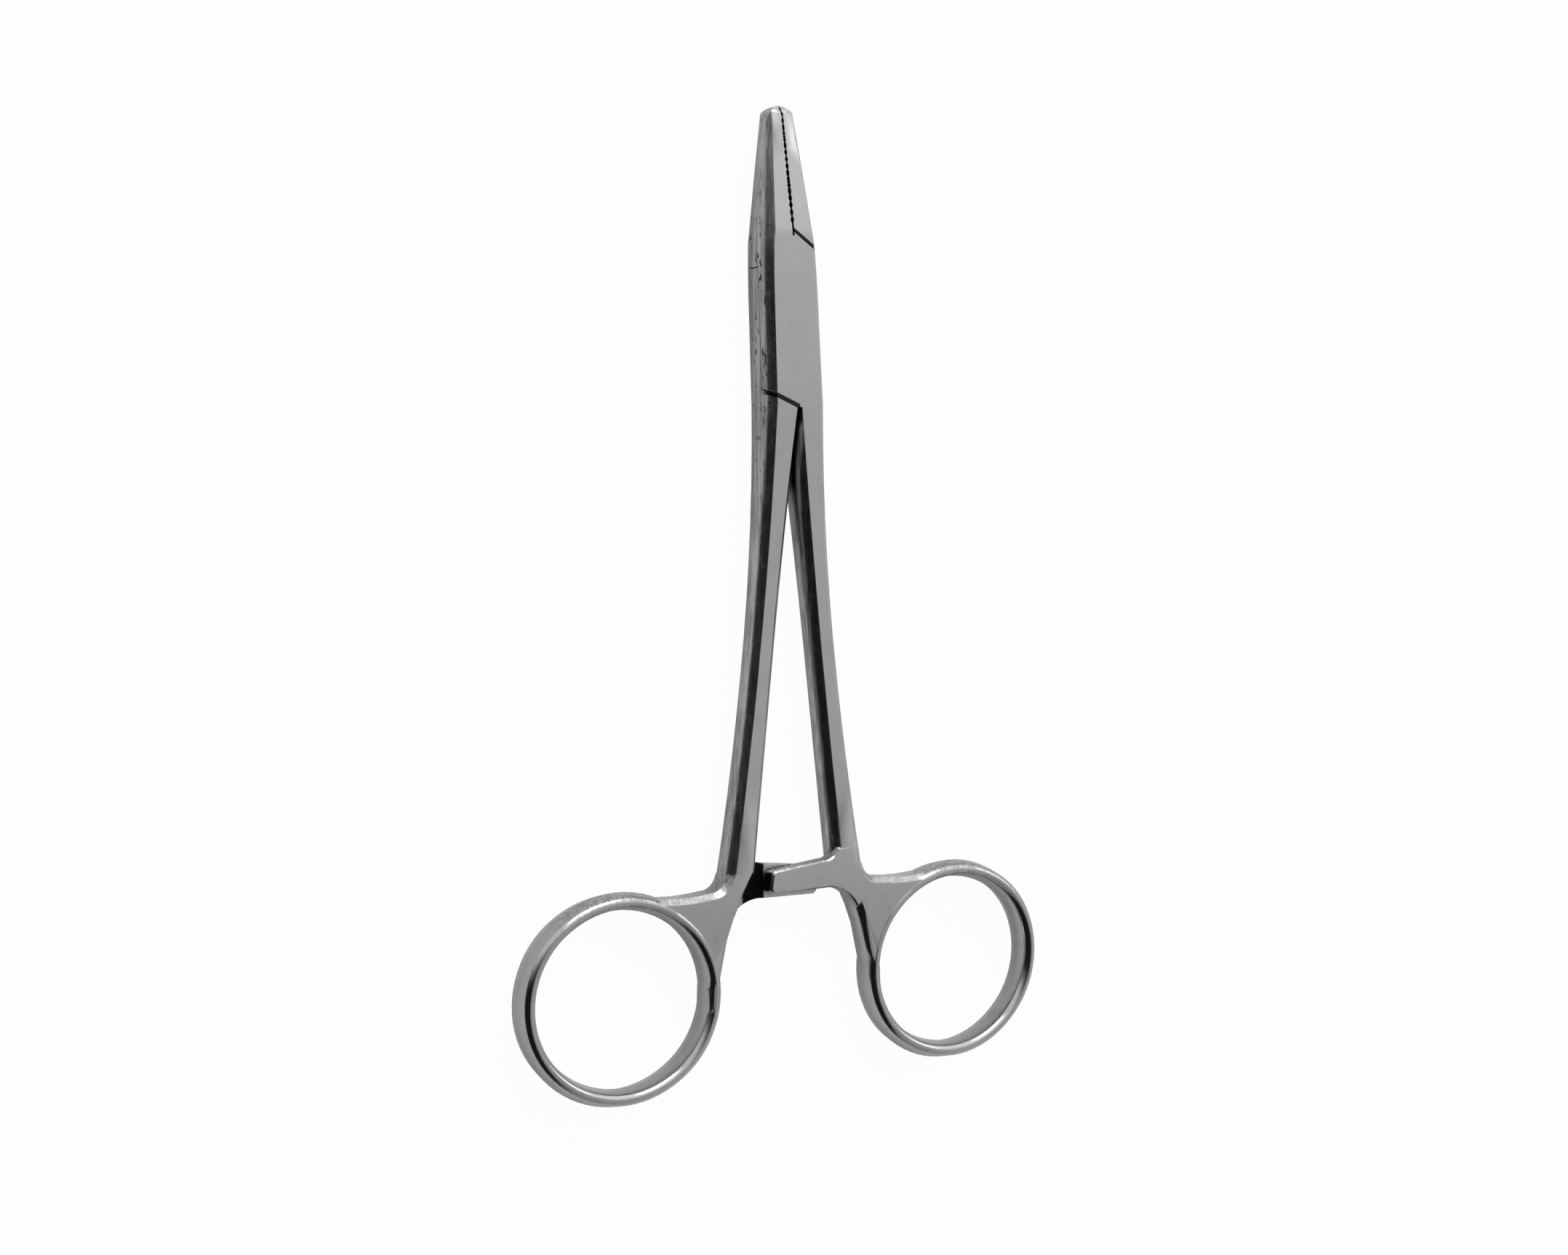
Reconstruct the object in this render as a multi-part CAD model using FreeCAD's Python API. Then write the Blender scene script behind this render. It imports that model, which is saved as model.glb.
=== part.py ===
import FreeCAD, Part
import math
import os

# A box-lock needle holder for suturing, closed and lying flat, in plain satin stainless steel.
# Millimetres. +Y runs to the jaw tips, +X to the right, +Z up along the pivot pin.
# The origin is on the pin's axis, at the underside of the box lock.
V = FreeCAD.Vector

# Reach of the tool from the pin's axis
jaw_reach = 30.0            # to the jaw tips
ring_centre_y = 95.1        # down to the centres of the finger rings
ring_centre_x = 28.7        # out to the centres of the finger rings

# Box lock
box_thickness = 6.5
box_up = 12.0               # inner end of the upper shoulder, above the pin
box_down = 12.4             # inner end of the lower shoulder, below the pin
box_flat_half = 3.68        # half width of the flat front at the pin
box_low_half = 3.85         # half width of the flat front at the lower shoulder
side_bulge = 1.45           # how far the rounded sides stand out past the flat front
shoulder_slope = 0.66       # fall of the upper shoulder per millimetre outwards
lower_slope = 0.40          # rise of the lower shoulder per millimetre outwards
head_lean = 0.04            # lean of the head to the left, per millimetre above the shanks
tongue_thickness = 2.3
slot_radius = 9.0           # end of the slot, round the pin
tongue_clearance = 0.06     # tongue to each wall of the box
parting_clearance = 0.12    # between the halves at shoulders and shank roots
shank_touch_clearance = 0.05

# Pivot pin
pin_radius = 1.7
pin_head_radius = 2.2
pin_head_depth = 0.6
pin_running_clearance = 0.03
pin_seat_clearance = 0.01

# Jaws
jaw_root_half = 3.38        # half width of the flat front where the jaws leave the box
jaw_root_y = 10.5
jaw_tip_half = 1.45
jaw_tip_bulge = 0.85
jaw_tip_thickness = 2.9
nose_radius = 2.3
nose_bevel = 1.1
nose_fall = 0.75            # how far the bevel drops at the very tip
jaw_gap_root = 0.30         # daylight between the jaws at the box
jaw_gap_tip = 0.02          # the tips meet first
serration_pitch = 1.0
serration_depth = 0.2
serration_angle = 55.0
serration_start = 13.8
jaw_groove_width = 0.7
jaw_groove_depth = 0.35

# Shanks: centre line, width of the flat, bulge of the sides, thickness
shank_root_x = 2.1          # centre of each shank just under the box
waist_y = 48.0
waist_x = 5.35
waist_flat = 2.0
waist_bulge = 1.2
waist_thickness = 4.2
thin_end = 62.0             # the shank thickens again from here on
shank_end = 79.0
shank_end_x = 9.35
shank_end_flat = 2.7
shank_end_bulge = 1.4
shank_steps = 12            # straight stretches that make up each shank's flow
stem_steps = 6
side_chords = 6             # facets across each rounded side
stem_thickness = 4.56

# Finger rings, an oval tube that runs into its shank through a stem and a web
ring_half_long = 14.84      # centre line of the tube, across
ring_half_short = 13.64     # centre line of the tube, along
ring_tilt = 6.8
ring_tube = 2.5             # width of the tube's section
ring_thickness = 4.8        # height of the tube's section
ring_sides = 12             # facets round the tube
stem_foot = 3.0             # the stem ends this far below the ring's centre
stem_foot_flat = 0.3
stem_sink = 0.4             # the stem's end lies this deep in the tube
web_hollow = 1.5            # depth of the web's upper edge below the top of the ring
web_corner = 2.6            # width of the hollow corner between shank and web
web_reach = 3.5             # the web's edge ends this far short of the ring's centre
web_sink = 1.0              # and this far below the ring's top
web_hidden = 0.3            # the web runs this far past the middle of the tube
web_bevel = 0.8

# Ratchet arms
arm_top = 78.1
arm_height = 4.1
arm_overreach = 4.6         # how far each arm passes the middle
arm_drop = 1.0              # fall of the arm's upper edge from root to end
back_arm_lower = 0.9
arm_crotch = 3.4            # size of the hollow corner under the arm's root
arm_corner = 0.8
arm_rim = 0.25
tooth_pitch = 1.1
tooth_depth = 0.5
tooth_count = 4
tooth_clearance = 0.06      # crest to crest

mid_z = box_thickness / 2

# Reach of the cutting and trimming forms, well past the tool on every side
aside, above, below = 30.0, 40.0, 100.0


def prism(face, low, high):
    solid = face.extrude(V(0, 0, high - low))
    solid.translate(V(0, 0, low))
    return solid


def polygon(points):
    corners = [V(x, y, 0) for x, y in points]
    return Part.Face(Part.makePolygon(corners + corners[:1]))


def arc(a, b, c):
    return Part.Arc(V(a[0], a[1], 0), V(b[0], b[1], 0), V(c[0], c[1], 0)).toShape()


def line(a, b):
    return Part.LineSegment(V(a[0], a[1], 0), V(b[0], b[1], 0)).toShape()


def mirrored(shape):
    return shape.mirror(V(0, 0, 0), V(1, 0, 0))


def steps(first, last, count):
    return [first + (last - first) * i / count for i in range(count + 1)]


# Flow of the form along the tool, each as a function of Y.
# The head leans a little to the left of the shanks' middle.
def middle(y):
    return -head_lean * max(0.0, y + box_down)


def shank_centre(y):
    s, a, b = -y - box_down, waist_y - box_down, shank_end - box_down
    first = (waist_x - shank_root_x) / a
    second = (shank_end_x - waist_x) / (b - a)
    return shank_root_x + first * s + (second - first) / b * s * (s - a)


def along(y, root, waist, end):
    if -y < waist_y:
        t = 1 - (-y - box_down) / (waist_y - box_down)
        return waist + (root - waist) * t * t
    t = min(1.0, (-y - waist_y) / (shank_end - waist_y))
    return waist + (end - waist) * t * t


def shank_flat(y):
    return along(y, 2 * (box_low_half - shank_root_x), waist_flat, shank_end_flat) / 2


def bulge(y):
    if y > jaw_root_y:
        t = (y - jaw_root_y) / (jaw_reach - jaw_root_y)
        return side_bulge + (jaw_tip_bulge - side_bulge) * t
    if y > -box_down:
        return side_bulge
    return along(y, side_bulge, waist_bulge, shank_end_bulge)


def flat_half(y):
    if y > jaw_root_y:
        t = (y - jaw_root_y) / (jaw_reach - jaw_root_y)
        return jaw_root_half + (jaw_tip_half - jaw_root_half) * t
    if y > 0:
        t = 1 - y / jaw_root_y
        return jaw_root_half + (box_flat_half - jaw_root_half) * t * (2 - t)
    if y > -box_down:
        return box_flat_half + (box_low_half - box_flat_half) * (-y / box_down)
    return shank_centre(y) + shank_flat(y)


def thickness(y):
    if y > box_up:
        return box_thickness + (jaw_tip_thickness - box_thickness) * (y - box_up) / (jaw_reach - box_up)
    if y > -box_down:
        return box_thickness
    return along(y, box_thickness, waist_thickness, stem_thickness)


# Side view of the whole forging: flat box, jaws tapering to the tips, shanks thinning
# to the waist and thickening again towards the rings
def upper_edge():
    half, thin = box_thickness / 2, waist_thickness / 2
    tip, end = jaw_tip_thickness / 2, stem_thickness / 2
    fall = (box_down + waist_y) / 2
    rise = (thin_end + shank_end) / 2
    return [((jaw_reach, tip - nose_fall), (jaw_reach - nose_bevel, tip)),
            ((jaw_reach - nose_bevel, tip), (box_up, half)),
            ((box_up, half), (-box_down, half)),
            ((-box_down, half), (-fall, thin + (half - thin) * 0.28), (-waist_y, thin)),
            ((-waist_y, thin), (-thin_end, thin)),
            ((-thin_end, thin), (-rise, thin + (end - thin) * 0.3), (-shank_end, end))]


def side_profile():
    edges = []
    start, last = upper_edge()[0][0], upper_edge()[-1][-1]
    for side in (1, -1):
        for piece in upper_edge():
            points = [V(0, y, mid_z + side * z) for y, z in piece]
            if len(points) == 2:
                edges.append(Part.LineSegment(*points).toShape())
            else:
                edges.append(Part.Arc(*points).toShape())
    for y, z in (start, last):
        edges.append(Part.LineSegment(V(0, y, mid_z - z), V(0, y, mid_z + z)).toShape())
    face = Part.Face(Part.Wire(Part.__sortEdges__(edges)))
    solid = face.extrude(V(2 * aside, 0, 0))
    solid.translate(V(-aside, 0, 0))
    return solid


# One cross-section with two rounded sides, each an arc in a few chords. Each side swells out
# by its bulge between the front and back faces, and the section runs a little past them.
def section(y, left, right, left_bulge, right_bulge, spare=0.12):
    half = thickness(y) / 2

    def side(flat, swell):
        radius = (half * half + swell * swell) / (2 * abs(swell))
        angle = math.asin((half + spare) / radius)
        turns = steps(-angle, angle, side_chords)
        centre = flat + swell - math.copysign(radius, swell)
        reach = math.copysign(radius, swell)
        return [V(centre + reach * math.cos(a), y, mid_z + radius * math.sin(a)) for a in turns]

    outline = side(left, -left_bulge) + side(right, right_bulge)[::-1]
    return Part.makePolygon(outline + outline[:1])


def head_section(y):
    return section(y, middle(y) - flat_half(y), middle(y) + flat_half(y), bulge(y), bulge(y))


# The space between the shanks, waisted where their rounded inner sides come together
def gap_section(y):
    edge = shank_centre(y) - shank_flat(y)
    swell = min(bulge(y), edge - shank_touch_clearance / 2)
    return section(y, -edge, edge, -swell, -swell)


head_stations = [jaw_reach + 1, (jaw_reach + box_up) / 2] + steps(jaw_root_y, 0, 3)
shank_stations = steps(-box_down, -shank_end, shank_steps)
outer_form = Part.makeLoft([head_section(y) for y in head_stations + shank_stations], True, True)
gap_stations = [-box_down - 0.4] + shank_stations[1:] + [-shank_end - 1]
gap = Part.makeLoft([gap_section(y) for y in gap_stations], True, True)

nose_y = jaw_reach - nose_radius
nose_x = middle(nose_y)
nose = Part.Face(Part.Wire([
    arc((nose_x + nose_radius, nose_y), (nose_x, jaw_reach), (nose_x - nose_radius, nose_y)),
    line((nose_x - nose_radius, nose_y), (nose_x - aside, nose_y - aside)),
    line((nose_x - aside, nose_y - aside), (nose_x - aside, -below)),
    line((nose_x - aside, -below), (nose_x + aside, -below)),
    line((nose_x + aside, -below), (nose_x + aside, nose_y - aside)),
    line((nose_x + aside, nose_y - aside), (nose_x + nose_radius, nose_y))]))
low, high = -2, box_thickness + 2
forging = outer_form.common(side_profile()).common(prism(nose, low, high)).cut(gap)


# Plan of the parting line of the front and back walls, seen from above.
# grow moves it away from the box half, for the running clearance of the tongue half.
side_limit = 9.0
norm_up = math.hypot(1, shoulder_slope)
norm_low = math.hypot(1, lower_slope)
foot = box_down / norm_low


def wall_plan(grow):
    top = box_up + grow * norm_up
    seam = middle(box_up) + grow
    radius = foot + grow
    knee = (-radius * lower_slope / norm_low, -radius / norm_low)
    reach = (-side_limit, -math.sqrt(radius ** 2 - side_limit ** 2))
    turn = math.atan2(knee[1] + reach[1], knee[0] + reach[0])
    bend = (radius * math.cos(turn), radius * math.sin(turn))
    corner = (-grow, -radius * norm_low + lower_slope * grow)
    side_y = top - shoulder_slope * (side_limit + grow - seam)
    points = [(-aside, above), (middle(above) + grow, above), (seam, top - shoulder_slope * grow),
              (side_limit, side_y), (aside, side_y), (aside, -below), (-grow, -below), corner, knee]
    edges = [line(points[i], points[i + 1]) for i in range(len(points) - 1)]
    edges += [arc(knee, bend, reach), line(reach, (-aside, reach[1])),
              line((-aside, reach[1]), (-aside, above))]
    return Part.Face(Part.Wire(edges))


def slot_plan(radius, edge):
    disc = Part.Face(Part.Wire(Part.makeCircle(radius)))
    right = polygon([(edge, 0), (aside, 0), (aside, above), (edge, above)])
    left = polygon([(-edge, 0), (-aside, 0), (-aside, -below), (-edge, -below)])
    return disc.fuse([right, left]).removeSplitter().Faces[0]


tongue_half_z = tongue_thickness / 2
slot_half_z = tongue_half_z + tongue_clearance

slot = prism(slot_plan(slot_radius, 0), mid_z - slot_half_z, mid_z + slot_half_z)
box_form = forging.common(prism(wall_plan(0), low, high)).cut(slot)

room = prism(wall_plan(parting_clearance), low, high)
tongue_band = prism(slot_plan(slot_radius - parting_clearance, parting_clearance),
                    mid_z - tongue_half_z, mid_z + tongue_half_z)
tongue_form = forging.cut(room).fuse(forging.common(tongue_band))


# Daylight between the jaw faces, widening from the tips to the box
def half_gap(y):
    t = (jaw_reach - y) / (jaw_reach - box_up)
    return (jaw_gap_tip + (jaw_gap_root - jaw_gap_tip) * t) / 2


# A strip in plan that follows the jaws' seam, from one distance off it to another
def seam_strip(inner, outer, start, end):
    corners = [(inner, start), (inner, end), (outer, end), (outer, start)]
    return polygon([(middle(y) + math.copysign(half_gap(y), x) + x, y) for x, y in corners])


wedge_root = box_up - 0.6
at_seam = 1e-9               # no width of its own: the strip is as wide as the daylight
jaw_wedge = prism(seam_strip(-at_seam, at_seam, wedge_root, above), low, high)


# Cross-cut grooves of one jaw's face, side -1 for the left jaw and 1 for the right, and
# the long groove along its middle
def jaw_cuts(side):
    cuts = []
    tall = box_thickness
    count = int((jaw_reach - serration_start + tall) / serration_pitch)
    half_width = serration_pitch * math.sin(math.radians(serration_angle)) / 2 * 0.96
    for lean in (math.radians(serration_angle), -math.radians(serration_angle)):
        run = V(-head_lean * math.cos(lean), math.cos(lean), math.sin(lean))
        across = V(0, -run.z, run.y) * half_width
        for i in range(count):
            y = serration_start + i * serration_pitch
            start = V(middle(y) + side * half_gap(y), y, mid_z) - run * tall
            apex = start + V(side * serration_depth, 0, 0)
            out = V(-side * 0.3, 0, 0)
            corners = [apex, start + across, start + across + out,
                       start - across + out, start - across, apex]
            cuts.append(Part.Face(Part.makePolygon(corners)).extrude(run * (2 * tall)))
    groove = seam_strip(-side * 0.5, side * jaw_groove_depth, serration_start, jaw_reach + 1)
    cuts.append(prism(groove, mid_z - jaw_groove_width / 2, mid_z + jaw_groove_width / 2))
    zone = Part.makeBox(2 * aside, jaw_reach, 2 * aside,
                        V(-aside, serration_start - serration_pitch / 2, -aside))
    return [c.common(zone) for c in cuts]


# Finger ring of the right side: four arcs that meet without a kink, each an elliptical
# section, in even turns of its face, turned about the arc's centre
def oval_arcs(grow):
    half_long, half_short = ring_half_long + grow, ring_half_short + grow
    end = half_short - 0.68 * (half_long - half_short)
    flank = (half_long ** 2 + half_short ** 2 - 2 * half_long * end) / (2 * (half_short - end))
    turn = math.degrees(math.acos((half_long - end) / (flank - end)))
    return [(half_long - end, 0, end, -turn, 2 * turn),
            (0, half_short - flank, flank, turn, 180 - 2 * turn),
            (end - half_long, 0, end, 180 - turn, 2 * turn),
            (0, flank - half_short, flank, 180 + turn, 180 - 2 * turn)]


def on_arc(x, y, radius, angle):
    return V(x + radius * math.cos(math.radians(angle)), y + radius * math.sin(math.radians(angle)), 0)


def ring_place(shape, z):
    shape.rotate(V(0, 0, 0), V(0, 0, 1), ring_tilt)
    shape.translate(V(ring_centre_x, -ring_centre_y, z))
    return shape


def tube_outline(x, y, radius, start):
    wide, tall = ring_tube / 2, ring_thickness / 2
    outline = []
    for i in range(ring_sides):
        turn = 2 * math.pi * i / ring_sides
        c, h = wide * math.cos(turn), tall * math.sin(turn)
        reach = math.hypot(c, h)
        point = on_arc(x, y, radius + wide * c / reach, start)
        outline.append(V(point.x, point.y, tall * h / reach))
    return Part.Face(Part.makePolygon(outline + outline[:1]))


def ring_tube_solid():
    pieces = [tube_outline(x, y, radius, start).revolve(V(x, y, 0), V(0, 0, 1), sweep)
              for x, y, radius, start, sweep in oval_arcs(0)]
    return ring_place(pieces[0].fuse(pieces[1:]).removeSplitter(), mid_z)


def oval_face(grow):
    edges = [Part.Arc(on_arc(x, y, r, a), on_arc(x, y, r, a + s / 2), on_arc(x, y, r, a + s)).toShape()
             for x, y, r, a, s in oval_arcs(grow)]
    return ring_place(Part.Face(Part.Wire(edges)), 0)


# The stem carries the shank on to the inner side of the ring, where it runs out
def stem_inner(y):
    start = shank_centre(-shank_end) - shank_flat(-shank_end) - bulge(-shank_end)
    end = ring_centre_x - ring_half_long - ring_tube / 2 + stem_sink
    t = (-y - shank_end) / (ring_centre_y + stem_foot - shank_end)
    return start + (end - start) * t * (2 - t)


def stem_section(y):
    t = (-y - shank_end) / (ring_centre_y + stem_foot - shank_end)
    swell = bulge(y) + (ring_tube / 2 - bulge(y)) * t
    hidden_swell = bulge(y) + (ring_tube / 3 - bulge(y)) * t
    inner = stem_inner(y) + swell
    flat = stem_foot_flat + (2 * shank_flat(y) - stem_foot_flat) * (1 - t) ** 3
    return section(y, inner, inner + flat, swell, hidden_swell, 0.02)


# The web fills the corner between stem and ring; its upper edge is hollow
def web():
    top = -ring_centre_y + ring_half_short + ring_tube / 2
    hollow = top - web_hollow
    outer = shank_centre(-shank_end) + shank_flat(-shank_end)
    side = outer + bulge(-shank_end)
    end = ring_centre_x - web_reach
    start_up = (outer, -shank_end + 1.5)
    start = (side - 0.25, -shank_end - 0.4)
    turn = (side + web_corner * 0.27, hollow + web_corner * 0.33)
    corner = (side + web_corner, hollow + 0.3)
    dip = (corner[0] + (end - corner[0]) / 3, hollow)
    finish = (end, top - web_sink)
    inside = (ring_centre_x, top - ring_tube)
    centre = (ring_centre_x, -ring_centre_y)
    flank = (ring_centre_x - ring_half_long, -ring_centre_y)
    root = (outer, -shank_end - 2)
    plan = Part.Face(Part.Wire([
        line(start_up, start), arc(start, turn, corner), arc(corner, dip, finish), line(finish, inside),
        line(inside, centre), line(centre, flank), line(flank, root), line(root, start_up)]))
    plate = prism(plan.cut(oval_face(-web_hidden)).Faces[0],
                  mid_z - stem_thickness / 2, mid_z + stem_thickness / 2)
    rims = [e for e in plate.Edges if e.BoundBox.ZLength < 1e-6
            and any(math.hypot(e.CenterOfMass.x - c.x, e.CenterOfMass.y - c.y) < 1e-4
                    for c in (s.CenterOfMass for s in plan.OuterWire.Edges[:3]))]
    return plate.makeChamfer(web_bevel, rims)


def right_ring():
    stations = steps(-shank_end, -ring_centre_y - stem_foot, stem_steps)
    stem = Part.makeLoft([stem_section(y) for y in stations], True, True)
    slab = Part.makeBox(2 * aside, below, stem_thickness,
                        V(0, -below - shank_end + 1, mid_z - stem_thickness / 2))
    return [stem.common(slab), web(), ring_tube_solid()]


# Ratchet arm of the right shank, on the front; the left shank carries the same arm on the back
def arm_plan(lower):
    root = shank_centre(-arm_top) - shank_flat(-arm_top)
    top_y, bottom_y = -arm_top, -arm_top - arm_height - lower
    crotch_y = bottom_y - arm_crotch
    crotch = (stem_inner(crotch_y) + 0.3, crotch_y)
    end_top = (-arm_overreach + 0.3, top_y - arm_drop)
    end_low = (-arm_overreach - 0.2, bottom_y - 0.1)
    low_start = (root - arm_crotch, bottom_y)
    low_turn = (low_start[0] + (crotch[0] - low_start[0]) * 0.62, bottom_y - arm_crotch * 0.24)
    face = Part.Face(Part.Wire([
        line((root + 1.5, top_y + 1.7), (root - 0.9, top_y + 1.6)),
        arc((root - 0.9, top_y + 1.6), (root - 1.6, top_y + 0.5), (root - 3.2, top_y - 0.02)),
        line((root - 3.2, top_y - 0.02), end_top),
        line(end_top, end_low),
        line(end_low, low_start),
        arc(low_start, low_turn, crotch),
        line(crotch, (crotch[0] + 1.2, crotch_y + 1.2)),
        line((crotch[0] + 1.2, crotch_y + 1.2), (root + 1.5, top_y + 1.7))]))
    return face, end_top, end_low


def front_arm(lower):
    face, end_top, end_low = arm_plan(lower)
    base = mid_z + tooth_clearance / 2
    top = mid_z + stem_thickness / 2
    solid = prism(face, base, top)
    corners = []
    for e in solid.Edges:
        if e.BoundBox.ZLength > 1:
            p = e.CenterOfMass
            if min(math.hypot(p.x - q[0], p.y - q[1]) for q in (end_top, end_low)) < 0.01:
                corners.append(e)
    solid = solid.makeFillet(arm_corner, corners)
    rims = [e for e in solid.Edges if e.BoundBox.ZLength < 1e-6 and abs(e.CenterOfMass.z - top) < 1e-6]
    solid = solid.makeChamfer(arm_rim, rims)
    shared = -arm_top - arm_height + arm_rim
    cuts = []
    for i in range(tooth_count):
        x = -arm_overreach + 0.7 + i * tooth_pitch
        corners = [V(x, shared, base - 0.01), V(x + tooth_pitch * 0.86, shared, base - 0.01),
                   V(x + 0.05, shared, base + tooth_depth)]
        cuts.append(Part.Face(Part.makePolygon(corners + corners[:1])).extrude(V(0, 2 * arm_height, 0)))
    return solid.cut(cuts)


# The pin: a rivet with two flush, countersunk ends
def rivet(gap_size):
    r, head, deep = pin_radius + gap_size, pin_head_radius + gap_size, pin_head_depth
    outline = [V(0, 0, 0), V(head, 0, 0), V(r, 0, deep), V(r, 0, box_thickness - deep),
               V(head, 0, box_thickness), V(0, 0, box_thickness)]
    return Part.Face(Part.makePolygon(outline + outline[:1])).revolve(V(0, 0, 0), V(0, 0, 1), 360)


# Joining and cutting each half
def cleaned(shape):
    shape = shape.removeSplitter()
    return max(shape.Solids, key=lambda s: s.Volume)


ring_pieces = right_ring()
box_arm = front_arm(0)
tongue_arm = mirrored(front_arm(back_arm_lower).mirror(V(0, 0, mid_z), V(0, 0, 1)))
bore = Part.makeCylinder(pin_radius + pin_running_clearance, high - low, V(0, 0, low))

box_half = box_form.cut(jaw_wedge).cut(jaw_cuts(-1))
box_half = box_half.fuse(ring_pieces + [box_arm]).cut(rivet(pin_seat_clearance))
tongue_half = tongue_form.cut(jaw_wedge).cut(jaw_cuts(1))
tongue_half = tongue_half.fuse([mirrored(p) for p in ring_pieces] + [tongue_arm]).cut(bore)

os.makedirs("parts", exist_ok=True)
for name, shape in (("box_half", cleaned(box_half)), ("tongue_half", cleaned(tongue_half)),
                    ("pivot_pin", rivet(0))):
    shape.exportStep("parts/" + name + ".step")
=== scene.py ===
import math

import bpy
from mathutils import Matrix, Vector

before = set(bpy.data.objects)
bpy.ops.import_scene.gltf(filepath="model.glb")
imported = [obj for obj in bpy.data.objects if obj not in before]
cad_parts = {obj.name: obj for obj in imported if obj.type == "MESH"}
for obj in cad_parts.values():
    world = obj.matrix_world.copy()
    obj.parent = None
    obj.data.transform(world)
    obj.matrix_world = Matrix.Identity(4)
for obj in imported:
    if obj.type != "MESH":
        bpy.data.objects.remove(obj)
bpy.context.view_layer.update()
scene = bpy.context.scene
scene.view_settings.view_transform = "Standard"


# Camera
# It looks down on the closed tool from the left, so that the flat fronts and the left sides show.
# Its place is in metres, and its turn is the view's yaw, pitch and roll.
viewpoint = (-0.19739, -0.03124, 0.29475)
yaw, pitch, roll = math.radians(34.0), math.radians(2.131), math.radians(0.303)
turn = Matrix.Rotation(roll, 3, "Z") @ Matrix.Rotation(pitch, 3, "X") @ Matrix.Rotation(yaw, 3, "Y")
camera = bpy.data.objects.new("camera", bpy.data.cameras.new("camera"))
camera.data.lens = 56.12
camera.matrix_world = Matrix.Translation(viewpoint) @ turn.transposed().to_4x4()
scene.collection.objects.link(camera)
scene.camera = camera


# Table
# A round sheet of plain white paper, just under the tool. It keeps the tool's soft shadow, looks
# nearly white from above, and shows a little brighter in the steel than its own light makes it.
class Value:
    """A socket that takes part in Python arithmetic, adding its Math nodes."""

    def __init__(self, nodes, socket):
        self.nodes, self.socket = nodes, socket

    def math(self, operation, first, second):
        return self.nodes.node("ShaderNodeMath", {"operation": operation}, {0: first, 1: second})

    def __add__(self, other):
        return self.math("ADD", self, other)

    def __radd__(self, other):
        return self.math("ADD", other, self)

    def __sub__(self, other):
        return self.math("SUBTRACT", self, other)

    def __rsub__(self, other):
        return self.math("SUBTRACT", other, self)

    def __mul__(self, other):
        return self.math("MULTIPLY", self, other)

    def __rmul__(self, other):
        return self.math("MULTIPLY", other, self)

    def out(self, name):
        return Value(self.nodes, self.socket.node.outputs[name])


class Nodes:
    """The nodes of a material, a world or a modifier, with one method that adds any of them."""

    def __init__(self, owner):
        if hasattr(owner, "use_nodes"):
            owner.use_nodes = True
        self.owner = owner
        self.tree = getattr(owner, "node_tree", owner)
        self.tree.nodes.clear()

    def node(self, kind, settings={}, values={}, out=0):
        made = self.tree.nodes.new(kind)
        for name, setting in settings.items():
            setattr(made, name, setting)
        for name, value in values.items():
            if isinstance(value, Value):
                self.tree.links.new(value.socket, made.inputs[name])
            else:
                made.inputs[name].default_value = value
        return Value(self, made.outputs[out]) if made.outputs else made


def between(nodes, start, end, value):
    """0 up to the start and 1 from the end on, with a smooth rise; the end may lie below the start."""
    return nodes.node("ShaderNodeMapRange", {"interpolation_type": "SMOOTHSTEP"},
                      {"Value": value, "From Min": start, "From Max": end})


pure_white = (1.0, 1.0, 1.0, 1.0)
paper_white = (0.93, 0.93, 0.93, 1.0)
shown_white, mirrored_white = 0.97, 0.2

paper = Nodes(bpy.data.materials.new("white_table"))
seen = paper.node("ShaderNodeLightPath", out="Is Camera Ray")
matt = paper.node("ShaderNodeBsdfDiffuse", values={"Color": paper_white})
white = paper.node("ShaderNodeEmission", values={"Color": pure_white, "Strength": 1.0})
sheet = paper.node("ShaderNodeMixShader", values={
    "Fac": seen * shown_white + seen.out("Is Glossy Ray") * mirrored_white, 1: matt, 2: white})
paper.node("ShaderNodeOutputMaterial", values={"Surface": sheet})

table_radius, table_top, rim_points = 3.0, -0.0002, 64
rim = [2 * math.pi * k / rim_points for k in range(rim_points)]
table_mesh = bpy.data.meshes.new("table")
table_mesh.from_pydata([(table_radius * math.cos(a), table_radius * math.sin(a), table_top) for a in rim],
                       [], [range(rim_points)])
table_mesh.materials.append(paper.owner)
table = bpy.data.objects.new("table", table_mesh)
scene.collection.objects.link(table)


# Light
# A soft studio: bright beyond the jaws, even on the right, and a dark wall on the left, which the
# rounded left sides of the steel pick up as a dark band above the white of the table.
room_level, beyond_level, right_level = 0.36, 0.8, 0.2
wall_darkness, wall_end = 0.96, 0.75

studio = Nodes(bpy.data.worlds.new("studio"))
scene.world = studio.owner
direction = studio.node("ShaderNodeTexCoord", out="Generated")
east = studio.node("ShaderNodeSeparateXYZ", values={0: direction})
north, up = east.out("Y"), east.out("Z")
beyond = between(studio, 0.08, 0.7, north)
right_side = between(studio, 0.2, 0.75, east)
left_wall = between(studio, 0.1, -0.25, east) * between(studio, -0.05, 0.02, up) * (1 - wall_end * beyond)
level = (room_level + beyond_level * beyond + right_level * right_side) * (1 - wall_darkness * left_wall)
room = studio.node("ShaderNodeBackground", values={"Color": pure_white, "Strength": level})
backdrop = studio.node("ShaderNodeBackground", values={"Color": pure_white, "Strength": 1.0})
surround = studio.node("ShaderNodeMixShader", values={
    "Fac": studio.node("ShaderNodeLightPath", out="Is Camera Ray"), 1: room, 2: backdrop})
studio.node("ShaderNodeOutputWorld", values={"Surface": surround})


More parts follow.
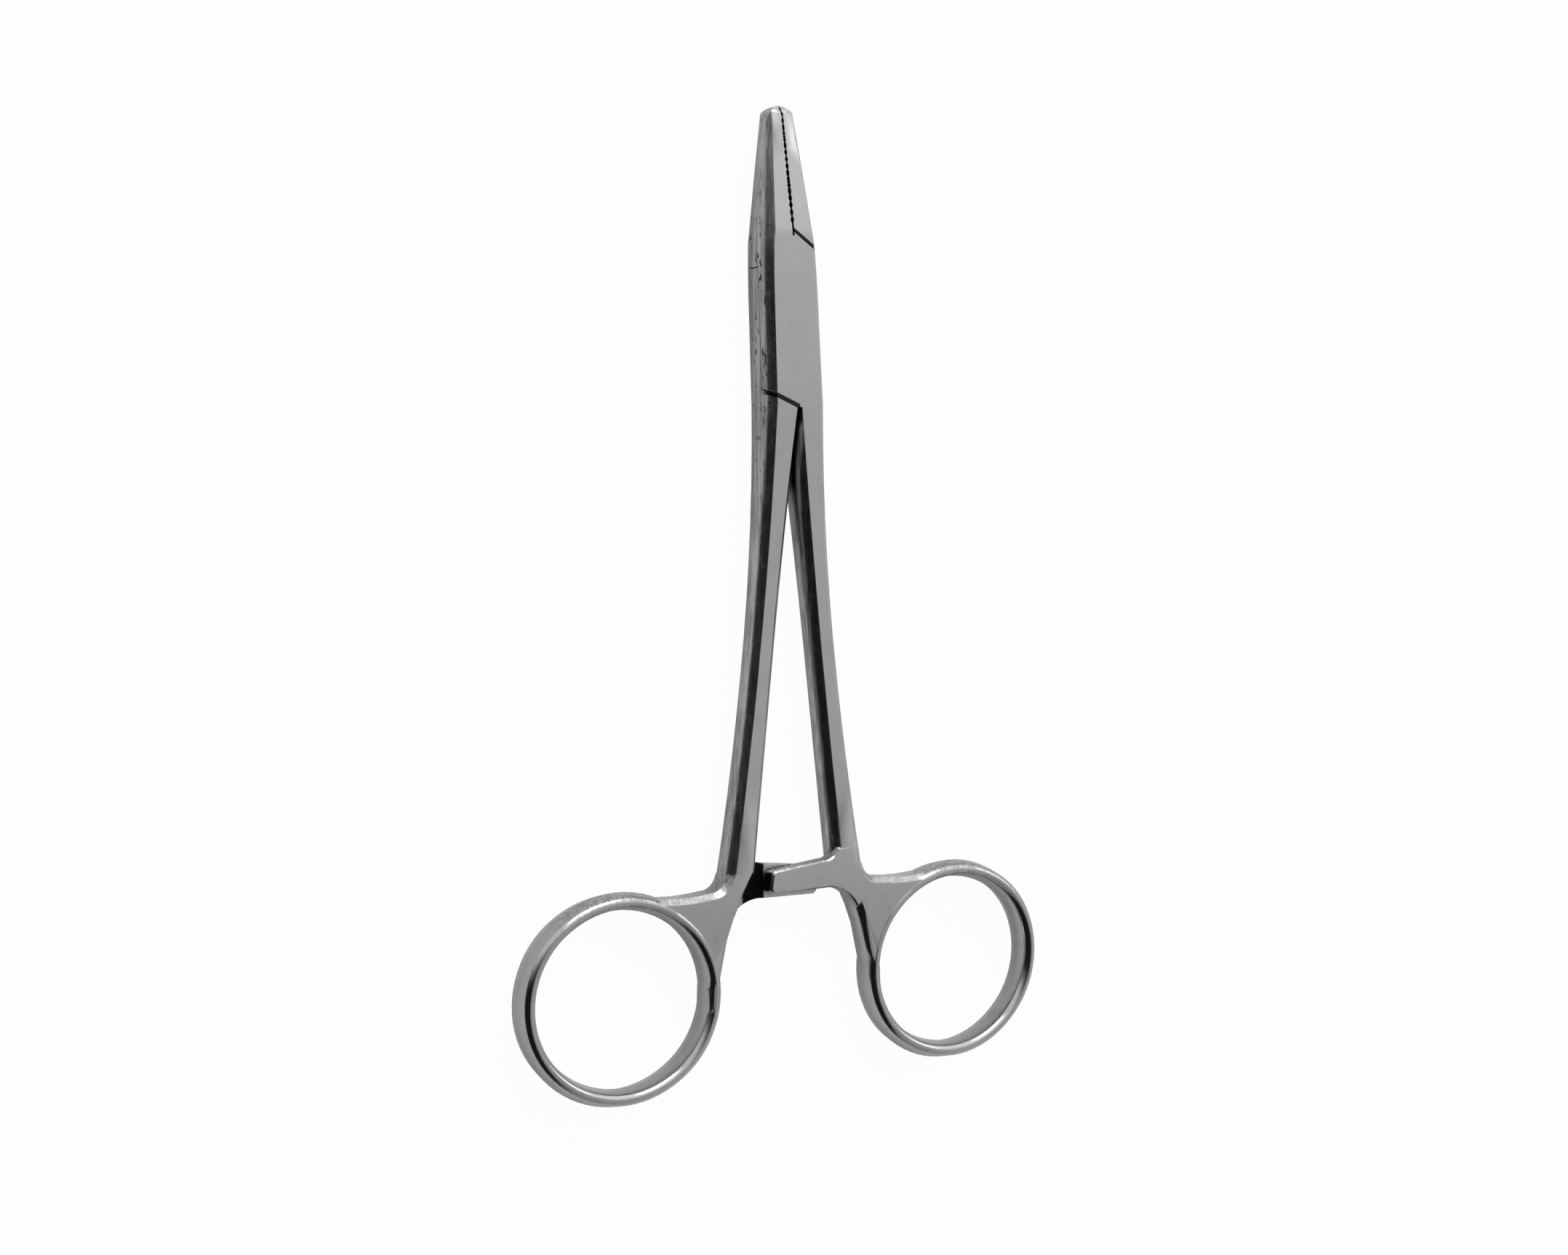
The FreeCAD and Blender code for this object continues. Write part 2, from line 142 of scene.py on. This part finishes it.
def window(name, place, width, height, watts):
    """A soft rectangular lamp that faces the middle of the tool."""
    light = bpy.data.lights.new(name, "AREA")
    light.shape, light.size, light.size_y, light.energy = "RECTANGLE", width, height, watts
    made = bpy.data.objects.new(name, light)
    made.location = place
    made.rotation_euler = (Vector((0, -0.04, 0)) - Vector(place)).to_track_quat("-Z", "Y").to_euler()
    scene.collection.objects.link(made)


window("window_beyond", (0.1, 0.85, 0.45), 0.6, 0.3, 3.0)
window("window_right", (0.95, 0.25, 0.5), 0.4, 0.3, 0.8)


# Box half
# The half with the box lock: left jaw, box, right shank, front ratchet arm and right ring in one
# drop-forging of martensitic stainless steel, ground flat on the front and back and polished on its
# rounded sides and ring. Its edges are lightly broken, so they catch the light.
def rounded_shading(crease, weld):
    """Smooth shading over the small facets, with the edges sharper than the crease kept sharp."""
    group = Nodes(bpy.data.node_groups.new("rounded_shading", "GeometryNodeTree"))
    for side in ("INPUT", "OUTPUT"):
        group.tree.interface.new_socket("Geometry", in_out=side, socket_type="NodeSocketGeometry")
    solid = group.node("NodeGroupInput")
    joined = group.node("GeometryNodeMergeByDistance", values={"Geometry": solid, "Distance": weld})
    bare = group.node("GeometryNodeRemoveAttribute", values={"Geometry": joined, "Name": "custom_normal"})
    soft = group.node("FunctionNodeCompare", {"operation": "LESS_THAN"},
                      {0: group.node("GeometryNodeInputMeshEdgeAngle"), 1: crease})
    smooth = group.node("GeometryNodeSetShadeSmooth", {"domain": "FACE"},
                        {"Geometry": bare, "Shade Smooth": True})
    creased = group.node("GeometryNodeSetShadeSmooth", {"domain": "EDGE"},
                         {"Geometry": smooth, "Shade Smooth": soft})
    group.node("NodeGroupOutput", values={"Geometry": creased})
    return group.tree


shading = rounded_shading(crease=math.radians(33), weld=2e-6)
broken_edge = 0.00016


def satin_steel(name, paint_shade=None):
    """Ground flats, polished rounded sides and rings, with painted shade in corners and crevices. The masks
    are in millimetres of the tool.
    """
    steel = Nodes(bpy.data.materials.new(name))
    place = steel.node("ShaderNodeTexCoord", out="Object")
    mm = steel.node("ShaderNodeVectorMath", {"operation": "SCALE"}, {0: place, "Scale": 1000.0})
    x = steel.node("ShaderNodeSeparateXYZ", values={0: mm})
    y, z = x.out("Y"), x.out("Z")
    normal = steel.node("ShaderNodeNewGeometry", out="Normal")
    upright = steel.node("ShaderNodeSeparateXYZ", values={0: normal}, out="Z")
    flat = between(steel, 0.9, 0.985, steel.node("ShaderNodeMath", {"operation": "ABSOLUTE"}, {0: upright}))
    side = 1 - flat
    ring = between(steel, -80.0, -86.0, y)

    def noise(per_mm, stretch=(1.0, 1.0, 1.0), detail=3.0):
        drawn = steel.node("ShaderNodeMapping", values={"Vector": mm, "Scale": stretch})
        return steel.node("ShaderNodeTexNoise", values={"Vector": drawn, "Scale": per_mm, "Detail": detail})

    grain = noise(9.0, (1.0, 0.06, 1.0), 4.0)
    fine = noise(30.0, (1.0, 0.3, 1.0), 2.0)
    clouds = noise(0.18)
    smudge = between(steel, 0.5, 0.75, noise(0.55))
    streaks = between(steel, 0.35, 0.65, noise(2.2, (1.0, 0.03, 1.0), 3.0))
    left_of_lock = between(steel, -2.0, -3.5, x) * between(steel, -30.0, -12.0, y) \
        * between(steel, 26.0, 8.0, y)
    pits = between(steel, 0.60, 0.66, noise(1.5, (1.0, 0.45, 1.6), 3.0)) * left_of_lock * side
    # Painted shade: ambient occlusion darkens the colour in corners and crevices.
    openness_for_painted_shade = between(steel, 0.35, 0.9, steel.node("ShaderNodeAmbientOcclusion", {"samples": 6},
                                                   {"Distance": 0.0012}, "AO"))

    tone = 0.49 + 0.10 * clouds - 0.05 * ring + 0.07 * grain * flat - 0.04 * smudge \
        - 0.22 * streaks * side * (1 - 0.9 * ring)
    # The tone is darkened by the painted shade in corners and crevices, and by the pits.
    tone = tone * (0.35 + 0.65 * openness_for_painted_shade) * (1 - 0.85 * pits)
    rough = 0.20 + 0.14 * flat - 0.06 * ring + 0.05 * grain * (1 - ring) + 0.08 * smudge + 0.3 * pits
    if paint_shade:
        tone, rough = paint_shade(steel, x, y, z, tone, rough)

    # The rivet is ground flush with the box, so the broken edge leaves its rim alone.
    off_axis = steel.node("ShaderNodeVectorMath", {"operation": "MULTIPLY"}, {0: mm, 1: (1.0, 1.0, 0.0)})
    from_rivet = steel.node("ShaderNodeVectorMath", {"operation": "LENGTH"}, {0: off_axis}, "Value")
    rounded = steel.node("ShaderNodeBevel", {"samples": 4}, {"Radius": broken_edge})
    edge = steel.node("ShaderNodeMix", {"data_type": "VECTOR"},
                      {0: between(steel, 4.0, 4.6, from_rivet), 4: normal, 5: rounded}, 1)
    relief = steel.node("ShaderNodeBump", values={
        "Strength": 0.12, "Distance": 0.00001, "Normal": edge,
        "Height": grain * flat + fine * 0.3 * (1 - ring) - pits})
    colour = steel.node("ShaderNodeCombineColor", values={0: tone, 1: tone, 2: tone})
    surface = steel.node("ShaderNodeBsdfPrincipled", values={
        "Base Color": colour, "Metallic": 1.0, "Roughness": rough, "Normal": relief})
    steel.node("ShaderNodeOutputMaterial", values={"Surface": surface})
    return steel.owner


def wear(node, finish):
    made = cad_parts[node]
    made.data.materials.clear()
    made.data.materials.append(finish)
    made.modifiers.new("rounded_shading", "NODES").node_group = shading


wear("box_half", satin_steel("satin_box_half"))


# Tongue half
# The other forging of the same steel: right jaw, the tongue that runs through the box, left shank,
# rear ratchet arm and left ring. Its colour holds painted shade in the pocket where the front arm's
# end lies, and a painted shaded line along both joints of the lock.
upper_joint, upper_slope = 11.85, 0.66
lower_joint, lower_slope = 12.55, 0.4


def painted_shade_in_pocket_and_joints(steel, x, y, z, tone, rough):
    # Painted shade: the pocket beside the front arm's end is darkened almost to black.
    pocket_shade = between(steel, -8.4, -8.0, x) * between(steel, -4.3, -4.7, x) \
        * between(steel, -84.2, -83.9, y) * between(steel, -77.4, -77.8, y) * between(steel, 3.7, 3.5, z)
    # Painted shade: a dark line along both joints of the lock, standing in for the shaded step and gap
    # there.
    under = -1 * y - lower_joint - lower_slope * x
    over = y - upper_joint + upper_slope * x
    joint_shade = between(steel, 0.62, 0.48, under) * between(steel, -1.0, -0.5, under) \
        * between(steel, 4.4, 5.2, z) \
        + between(steel, 0.2, 0.12, over) * between(steel, -1.0, -0.5, over)
    return tone * (1 - 0.985 * pocket_shade) * (1 - 0.94 * joint_shade), rough + 0.3 * pocket_shade


wear("tongue_half", satin_steel("satin_tongue_half", painted_shade_in_pocket_and_joints))


# Pivot pin
# A stainless rivet through the lock, swaged into two countersinks and ground flush with the box.
wear("pivot_pin", satin_steel("satin_pin"))
